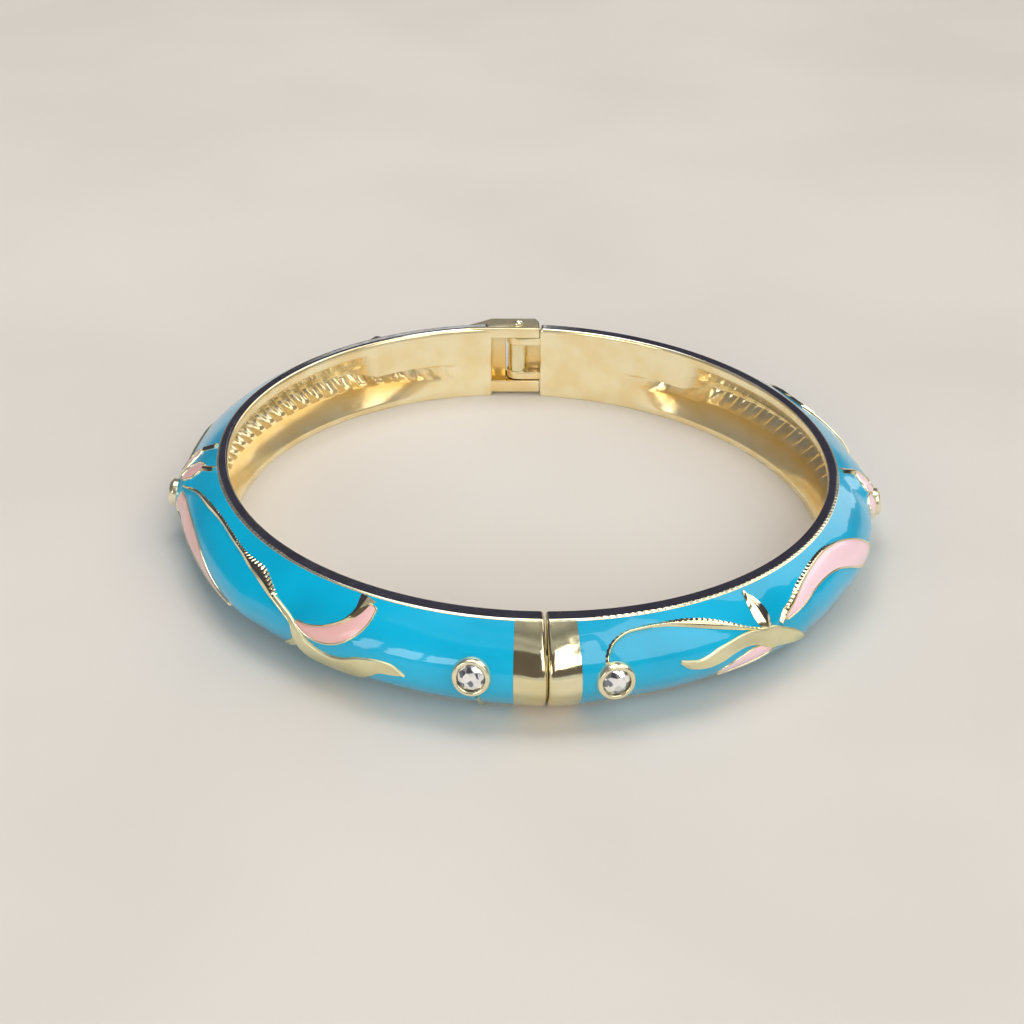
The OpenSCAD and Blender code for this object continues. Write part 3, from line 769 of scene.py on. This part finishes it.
# %% Knuckles
ear_turn = math.degrees(math.asin(knuckle_r / ear_reach))
ear = [(-ear_root, -knuckle_r), (ear_reach, -knuckle_r), *arc(ear_reach, 0, ear_turn),
       (-window_l, knuckle_r), (-ear_root, -knuckle_r / 3)]
left_wall = block(-window_l - arm_gap, -knuckle_r, knuckle_r - arm_gap)
ears = [plate(ear, relief, window_low, ear_soft), plate(ear, window_high, back_h, ear_soft),
        plate(left_wall, window_low - arm_gap, window_high + arm_gap, wall_soft)]
piece("left_knuckles", join(ears), "left", "gold_metal")
arm_r, arm_root = knuckle_r - arm_gap, ear_reach + rim_back
arm_low, arm_high = window_low + arm_gap, window_high - arm_gap
arm = [(arm_root, -arm_r), (arm_root, arm_r), *arc(arm_r, 90, 270)]
arms = [plate(arm, arm_low, arm_low + arm_t, arm_soft), plate(arm, arm_high - arm_t, arm_high, arm_soft),
        plate(block(0, arm_root, arm_r - arm_gap), arm_low, arm_high, wall_soft)]
piece("right_knuckles", join(arms), "right", "gold_metal")

# %% Barrel and pin
# A head's rings stop just short of its tip, so that it closes in a tiny flat
head_rows, head_share = 7, 0.98


def on_pin(profile):
    """A profile of (radius, height) spun round the hinge pin's axis"""
    bm = spun([*profile, (0, profile[-1][1]), (0, profile[0][1])])
    bmesh.ops.translate(bm, vec=(-pin_x, pin_y, 0), verts=bm.verts[:])
    bmesh.ops.scale(bm, vec=(MM, MM, MM), verts=bm.verts[:])
    return bm


barrel = [(barrel_r, arm_low + arm_t / 2), (barrel_r, arm_high - arm_t / 2)]
piece("barrel", on_pin(barrel), "right", "gold_metal")
pin_low, pin_high = relief - stone_gap, back_h + stone_gap
ball = (head_r**2 + head_h**2) / (2 * head_h)
rises = np.linspace(0, head_h * head_share, head_rows)
dome = [(math.sqrt(max(ball**2 - (ball - head_h + q) ** 2, 0)), q) for q in rises]
shaft = [*[(r, pin_low - q) for r, q in reversed(dome)], (pin_r, pin_low), (pin_r, pin_high),
         *[(r, pin_high + q) for r, q in dome]]
piece("pin", on_pin(shaft), "left", "gold_metal", "hinge_pin")

# %% [markdown]
# ## Finishes as expressions
#
# A material is a small sum: a colour that varies a little, a roughness that
# varies a little, and a bump. Wiring nodes by hand hides that sum, so a socket
# is wrapped in a class that answers to + - * and the nodes are added behind
# the expression.


# %% A socket that can be added and multiplied
class Flow:
    """An output socket of a shader's tree, used like a number"""

    def __init__(self, tree, socket=None):
        self.tree, self.socket = tree, socket

    def node(self, kind, settings=None, inputs=None, output=0):
        """Adds a node: its settings first, then the values or links of its sockets"""
        node = self.tree.nodes.new(kind)
        for name, value in (settings or {}).items():
            if name == "stops":
                ramp = node.color_ramp
                for at, _ in value[1:-1]:
                    ramp.elements.new(at)
                for element, (at, colour) in zip(ramp.elements, value):
                    element.position, element.color = at, colour
            else:
                setattr(node, name, value)
        for name, value in (inputs or {}).items():
            if isinstance(value, Flow):
                self.tree.links.new(value.socket, node.inputs[name])
            else:
                node.inputs[name].default_value = value
        return Flow(self.tree, node.outputs[output] if node.outputs else None)

    def math(self, operation, *others):
        return self.node("ShaderNodeMath", {"operation": operation}, dict(enumerate(others)))

    def __add__(self, other):
        return self.math("ADD", self, other)

    __radd__ = __add__

    def __sub__(self, other):
        return self.math("SUBTRACT", self, other)

    def __rsub__(self, other):
        return self.math("SUBTRACT", other, self)

    def __mul__(self, other):
        return self.math("MULTIPLY", self, other)

    __rmul__ = __mul__

    def between(self, low, high):
        """0 below low, 1 above high, soft between"""
        settings = {"interpolation_type": "SMOOTHSTEP"}
        return self.node("ShaderNodeMapRange", settings, {"Value": self, "From Min": low, "From Max": high})

    def blend(self, one, two):
        """Colour one where this is 0, colour two where it is 1"""
        return self.node("ShaderNodeMix", {"data_type": "RGBA"}, {0: self, 6: one, 7: two}, 2)


# %% [markdown]
# ## Gold, enamel and crystal
#
# The gold is a thin bright plating over a casting: pale where it is polished,
# sandy on the tops of the leaves, and painted a deeper yellow low in the
# hollow, which stands for the shade and the warm reflection there. The enamel
# is a smooth gloss with a slow wave in it, which gives its reflections their
# ragged edges. The right petals' paler pink is a painted highlight. The
# crystals have foil behind them, so their facets act as small mirrors under a
# clear skin; the foil's grey and white patches are painted sparkle.


# %% Tools shared by the finishes
def srgb(red, green, blue):
    """A screen's colour, 0 to 255, in the renderer's own linear values"""
    shares = [q / 255 for q in (red, green, blue)]
    return (*[q / 12.92 if q < 0.04 else ((q + 0.055) / 1.055) ** 2.4 for q in shares], 1.0)


def start(name):
    """A new material: its tree, and the object's own coordinates"""
    material = bpy.data.materials.new(name)
    material.use_nodes = True
    tree = material.node_tree
    tree.nodes.clear()
    flow = Flow(tree)
    where = flow.node("ShaderNodeTexCoord", output=3)
    return material, flow, where


def grain(where, per_mm, detail=2.0):
    """Noise with that many waves in a millimetre"""
    return where.node("ShaderNodeTexNoise", None, {
        "Vector": where, "Scale": per_mm / MM, "Detail": detail})


def close(flow, fixed, varying, bump=None):
    """The shader and the output. fixed values stay on the shader's own sockets, bump is in mm"""
    inputs = {**fixed, **varying}
    if bump is not None:
        inputs["Normal"] = flow.node("ShaderNodeBump", None, {
            "Height": bump, "Distance": MM, "Strength": 1.0})
    shader = flow.node("ShaderNodeBsdfPrincipled", None, inputs)
    flow.node("ShaderNodeOutputMaterial", None, {"Surface": shader})


# %% Gold finishes
CLOUD = (0.3, 0.7)
WORN = (0.4, 0.7)
cloud_per_mm, wave_per_mm, worn_per_mm = 0.35, 0.6, 1.5
# The attribute below says where the hollow is painted a deeper yellow for its shade and warm reflection
PAINTED_SHADE, low_metal = "low_in_hollow", -0.35


def gold(name, pale, deep, polish, spread, sand_mm, wave_mm, metal=1.0, sand_per_mm=6.0, inside=None):
    """Plated metal: the least roughness, how much is added where it is worn, and its texture's depths

    inside is a deeper colour painted low in the hollow for its shade and warm reflection, where the metal
    is a little duller too"""
    material, flow, where = start(name)
    cloud = grain(where, cloud_per_mm).between(*CLOUD)
    sand = grain(where, sand_per_mm, 3.0)
    wave = grain(where, wave_per_mm, 1.0)
    rough = grain(where, worn_per_mm, 3.0).between(*WORN) * spread + polish
    fixed, varying = {"Metallic": metal}, {"Base Color": cloud.blend(pale, deep), "Roughness": rough}
    if inside:
        # low marks where the hollow is painted a deeper yellow, as its shade and warm reflection
        low = flow.node("ShaderNodeAttribute", {"attribute_name": PAINTED_SHADE}, output=2)
        fixed, varying["Metallic"] = {}, low * low_metal + metal
        varying["Base Color"] = low.blend(varying["Base Color"], inside)
    close(flow, fixed, varying, sand * sand_mm + wave * wave_mm)
    return material


gold_polished = gold(
    "gold_polished", srgb(248, 240, 202), srgb(240, 228, 182),
    polish=0.07, spread=0.06, sand_mm=0.0012, wave_mm=0.02)
gold_sandy = gold(
    "gold_sandy", srgb(242, 236, 196), srgb(232, 224, 178),
    polish=0.34, spread=0.1, sand_mm=0.003, wave_mm=0.004, metal=0.85, sand_per_mm=9.0)
# Its inside colour is painted shade and warm reflection, low in the hollow
gold_inner = gold(
    "gold_inner", srgb(254, 243, 204), srgb(248, 229, 178),
    polish=0.15, spread=0.06, sand_mm=0.0, wave_mm=0.016, metal=0.72, inside=srgb(240, 190, 88))
gold_setting = gold(
    "gold_setting", srgb(250, 244, 214), srgb(240, 230, 190),
    polish=0.19, spread=0.06, sand_mm=0.0003, wave_mm=0.004, metal=0.85)
rim_metal = gold(
    "rim_metal", srgb(222, 220, 216), srgb(200, 198, 194),
    polish=0.08, spread=0.08, sand_mm=0.0008, wave_mm=0.003)


# %% Enamel finishes
GLASS = {"Roughness": 0.3, "Coat Weight": 1.0, "Coat Roughness": 0.008, "Specular IOR Level": 0.2}
pool_per_mm, slow_per_mm, slow_mm = 0.12, 0.45, 0.04


def enamel_finish(name, pale, deep):
    """Glossy enamel whose surface waves slowly"""
    material, flow, where = start(name)
    cloud = grain(where, pool_per_mm).between(*CLOUD)
    slow = grain(where, slow_per_mm, 1.5)
    close(flow, GLASS, {"Base Color": cloud.blend(pale, deep)}, slow * slow_mm)
    return material


blue_enamel = enamel_finish("blue_enamel_finish", srgb(0, 181, 223), srgb(0, 167, 207))
pink_enamel = enamel_finish("pink_enamel_finish", srgb(242, 194, 190), srgb(234, 182, 176))
# A paler copy of the pink for the right petals: a painted highlight where they catch the light
pink_painted_highlight = enamel_finish("pink_painted_highlight_finish", srgb(255, 220, 228), srgb(252, 210, 218))


# %% Crystal finish
FOIL = {"Metallic": 0.8, "Roughness": 0.04, "Coat Weight": 1.0, "Coat Roughness": 0.01}
# The foil's grey and white patches are painted sparkle: the facets' glints and dark reflections
painted_glint_per_mm, PAINTED_GLINT = 2.0, (0.3, 0.5)


def crystal_finish():
    """Bright foil with painted sparkle: grey and white patches for the facets' dark reflections and glints.
    Times one, a cell's random colour becomes a plain number
    """
    material, flow, where = start("crystal_finish")
    cell = flow.node("ShaderNodeTexVoronoi", None, {"Vector": where, "Scale": painted_glint_per_mm / MM}, 1)
    painted_glint = (cell * 1.0).between(*PAINTED_GLINT)
    close(flow, FOIL, {"Base Color": painted_glint.blend(srgb(128, 130, 140), srgb(255, 255, 255))})
    return material


crystal = crystal_finish()
print("finishes:", [m.name for m in bpy.data.materials])

# %% [markdown]
# ## Each piece gets its finish
#
# A casting has four: polished outside, gold on the wrist side that is painted a
# deeper yellow low in the hollow for its shade and warm reflection, the flat
# rims, which were lapped bright after the plating, and the upper border, which
# is a little duller. The knuckles were cast and lapped with their halves, so
# they are finished in the same way.

# %% Finishes of a casting and its knuckles
CAST_FINISHES = [gold_polished, gold_inner, rim_metal, gold_setting]
POLISHED, INNER, RIM, BORDER = range(len(CAST_FINISHES))
flat_rise, rim_spare, border_drop = 0.97, 0.15, 0.3
# Faces that look inwards are the hollow's up to this far out from the rim
hollow_reach = float(crown(LEFT, 45.0)) - 1
# The hollow's deeper yellow, painted shade and warm reflection, starts at the inner wall and below a
# height, each with a run, in mm
painted_shade_run, painted_shade_top, painted_shade_fade = 0.6, 3.7, 1.4


def polar(x, y):
    """Radius and degrees round the ring's own middle"""
    return np.hypot(x, y - centre_y), np.degrees(np.arctan2(y - centre_y, x))


def finish_cast(obj):
    """Chooses each face's metal by where it lies and which way it faces"""
    for material in CAST_FINISHES:
        obj.data.materials.append(material)
    points = np.array([v.co for v in obj.data.vertices]) / MM
    radius, t = polar(points[:, 0], points[:, 1])
    # low is how much of the hollow's painted shade and warm reflection a point gets
    low = ease((radius - inner_r(t)) / painted_shade_run) * ease((painted_shade_top - points[:, 2]) / painted_shade_fade)
    obj.data.attributes.new(PAINTED_SHADE, "FLOAT", "POINT").data.foreach_set("value", low.astype(np.float32))
    for face in obj.data.polygons:
        x, y, z = face.center / MM
        radius, t = polar(x, y)
        outward = face.normal.x * x + face.normal.y * (y - centre_y)
        rim = inner_r(t) + rim_w(t)
        if abs(face.normal.z) > flat_rise and radius < rim + rim_spare:
            face.material_index = RIM
        elif outward < 0 and radius < rim + hollow_reach:
            face.material_index = INNER
        elif z > wall_h(t) - border_drop and obj.name.endswith("casting"):
            face.material_index = BORDER
        else:
            face.material_index = POLISHED


# %% Finishes of the other pieces, by the end of their names
FINISH = {
    "scrolls": gold_sandy, "blades": gold_polished, "petal_wires": gold_setting,
    "settings": gold_setting, "barrel": gold_polished, "pin": gold_setting,
    # The right petals take the paler pink, a painted highlight
    "left_petal_glaze": pink_enamel, "right_petal_glaze": pink_painted_highlight, "glaze": blue_enamel,
    "crystal": crystal,
}
for name, obj in PIECES.items():
    if name.endswith(("casting", "knuckles")):
        finish_cast(obj)
    else:
        obj.data.materials.append(next(m for end, m in FINISH.items() if name.endswith(end)))
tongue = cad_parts["clasp_tongue"]
tongue.data.materials.clear()
tongue.data.materials.append(gold_polished)
print("finished:", len(PIECES) + 1, "pieces")

# %% [markdown]
# ## Floor, light and camera
#
# The bangle lies on a plain pale floor under a soft box. Polished metal shows
# what is round it, so the room matters more than the lamps: the dark parts of
# the walls give the rims and the enamel their depth, and a few bright windows
# give them their clear reflections.

# %% Floor
floor_size = 1.2
bm = bmesh.new()
bmesh.ops.create_grid(bm, x_segments=1, y_segments=1, size=floor_size / 2)
floor_mesh = bpy.data.meshes.new("floor")
bm.to_mesh(floor_mesh)
bm.free()
floor = bpy.data.objects.new("floor", floor_mesh)
bpy.context.scene.collection.objects.link(floor)
material, flow, where = start("floor_paper")
paper = grain(where, 0.02).between(*CLOUD).blend(srgb(226, 220, 212), srgb(220, 213, 204))
close(flow, {"Roughness": 0.9}, {"Base Color": paper})
floor_mesh.materials.append(material)
print("floor:", floor_size, "m wide")

# %% Directions in the room
world = bpy.data.worlds.new("room")
world.use_nodes = True
world.node_tree.nodes.clear()
room = Flow(world.node_tree)
way = room.node("ShaderNodeTexCoord", output=0)
parts = [way.node("ShaderNodeSeparateXYZ", None, {"Vector": way}, n) for n in range(3)]
azimuth = parts[1].math("ARCTAN2", parts[1], parts[0]) * math.degrees(1)
elevation = parts[2].math("ARCSINE", parts[2]) * math.degrees(1)


# %% Walls
def span(flow, low, high, soft):
    """1 between low and high, with soft ends"""
    return flow.between(low - soft, low + soft) * (1 - flow.between(high - soft, high + soft))


def grey(value, red=1.0, blue=1.0):
    """A grey, tinted by its shares of red and blue"""
    return (value * red, value, value * blue, 1.0)


def by_height(*stops):
    """A colour ramp's stops from (degrees above the horizon, colour)"""
    return [(0.5 + height / 180, colour) for height, colour in stops]


# The walls behind the bangle, and in front of it. The clasp shows these bands from its crest upwards
BEHIND = by_height(
    (-90, grey(0.6)), (-1, grey(0.6)), (4, grey(0.07, 1.05, 1.5)), (60, grey(0.08, 1.05, 1.4)),
    (72, grey(0.55)), (90, grey(0.8)))
FRONT = by_height(
    (-90, grey(0.8)), (7, grey(0.8)), (10.5, grey(0.16, 1.15, 0.95)), (56, grey(0.14, 1.15, 0.9)),
    (59, grey(0.65)), (66, grey(0.42)), (70, grey(0.6)), (75, grey(0.28)), (80, grey(0.4)),
    (84, grey(0.6)), (90, grey(0.8)))
ragged_degrees, ragged_scale, ragged_detail = 9, 9.0, 3.0
front_from, front_to, front_fade = -170, -5, 8
ragged = way.node("ShaderNodeTexNoise", None, {
    "Vector": way, "Scale": ragged_scale, "Detail": ragged_detail})
ragged = (ragged - 0.5) * ragged_degrees
azimuth, elevation = azimuth + ragged, elevation + ragged
up = elevation * (1 / 180) + 0.5
sides = span(azimuth, front_from, front_to, front_fade)
walls = sides.blend(up.node("ShaderNodeValToRGB", {"stops": BEHIND}, {"Fac": up}),
                    up.node("ShaderNodeValToRGB", {"stops": FRONT}, {"Fac": up}))

# %% Windows
# Azimuth from and to, elevation from and to, how much the window falls with each degree of azimuth,
# brightness. Azimuth -90 is towards the viewer
WINDOWS = [(-84, -63, 30, 62, 0, 2.6), (-58, -26, 21, 70, 0, 1.9), (-126, -118, 16, 32, 0, 3.8),
           (-138, -128, 13, 31, 0, 3.8), (-148, -142, 10, 33, 0, 3.2), (4, 56, 44, 100, 0.75, 1.6),
           (88.7, 95.4, 22, 27.6, 0, 0.7)]
frame_soft, wall_strength = 0.3, 0.75
glow = None
for left_az, right_az, low, high, fall, bright in WINDOWS:
    tall = span(elevation + azimuth * fall, low, high, frame_soft)
    card = span(azimuth, left_az, right_az, frame_soft) * tall * bright
    glow = card if glow is None else glow + card
shade = walls.node("ShaderNodeBackground", None, {"Color": walls, "Strength": wall_strength})
lit = walls.node("ShaderNodeBackground", None, {"Color": grey(1.0, 1.0, 0.96), "Strength": glow})
both = walls.node("ShaderNodeAddShader", None, {0: shade, 1: lit})
walls.node("ShaderNodeOutputWorld", None, {"Surface": both})
bpy.context.scene.world = world
print("windows:", len(WINDOWS))


# %% Lamps
def soft_box(name, azimuth, elevation, distance, width, height, watts, mirrored_too=True):
    """A rectangular lamp aimed at the bangle. Azimuth 0 is +X, -90 is towards the viewer"""
    lamp = bpy.data.lights.new(name, "AREA")
    lamp.shape = "RECTANGLE"
    lamp.size, lamp.size_y = width, height
    lamp.energy = watts
    obj = bpy.data.objects.new(name, lamp)
    a, e = math.radians(azimuth), math.radians(elevation)
    away = Vector((math.cos(a) * math.cos(e), math.sin(a) * math.cos(e), math.sin(e)))
    obj.location = away * distance
    obj.rotation_euler = away.to_track_quat("Z", "Y").to_euler()
    obj.visible_glossy = mirrored_too
    bpy.context.scene.collection.objects.link(obj)
    print(f"{name}: {watts} W")


soft_box("overhead", azimuth=110, elevation=76, distance=0.5, width=0.3, height=0.3, watts=0.8)
soft_box("front_fill", azimuth=-88, elevation=26, distance=0.6, width=0.4, height=0.25, watts=1.0,
         mirrored_too=False)

# %% Camera
camera_mm = (-1.31, -174.35, 103.0)
camera_tilt, camera_lens, sensor = 60, 70.3, 36
camera = bpy.data.cameras.new("camera")
camera.lens, camera.sensor_width = camera_lens, sensor
camera_obj = bpy.data.objects.new("camera", camera)
camera_obj.location = [q * MM for q in camera_mm]
camera_obj.rotation_euler = (math.radians(camera_tilt), 0, 0)
bpy.context.scene.collection.objects.link(camera_obj)
bpy.context.scene.camera = camera_obj
bpy.context.scene.view_settings.view_transform = "Standard"
print("camera at", camera_mm, "mm, lens", camera_lens)
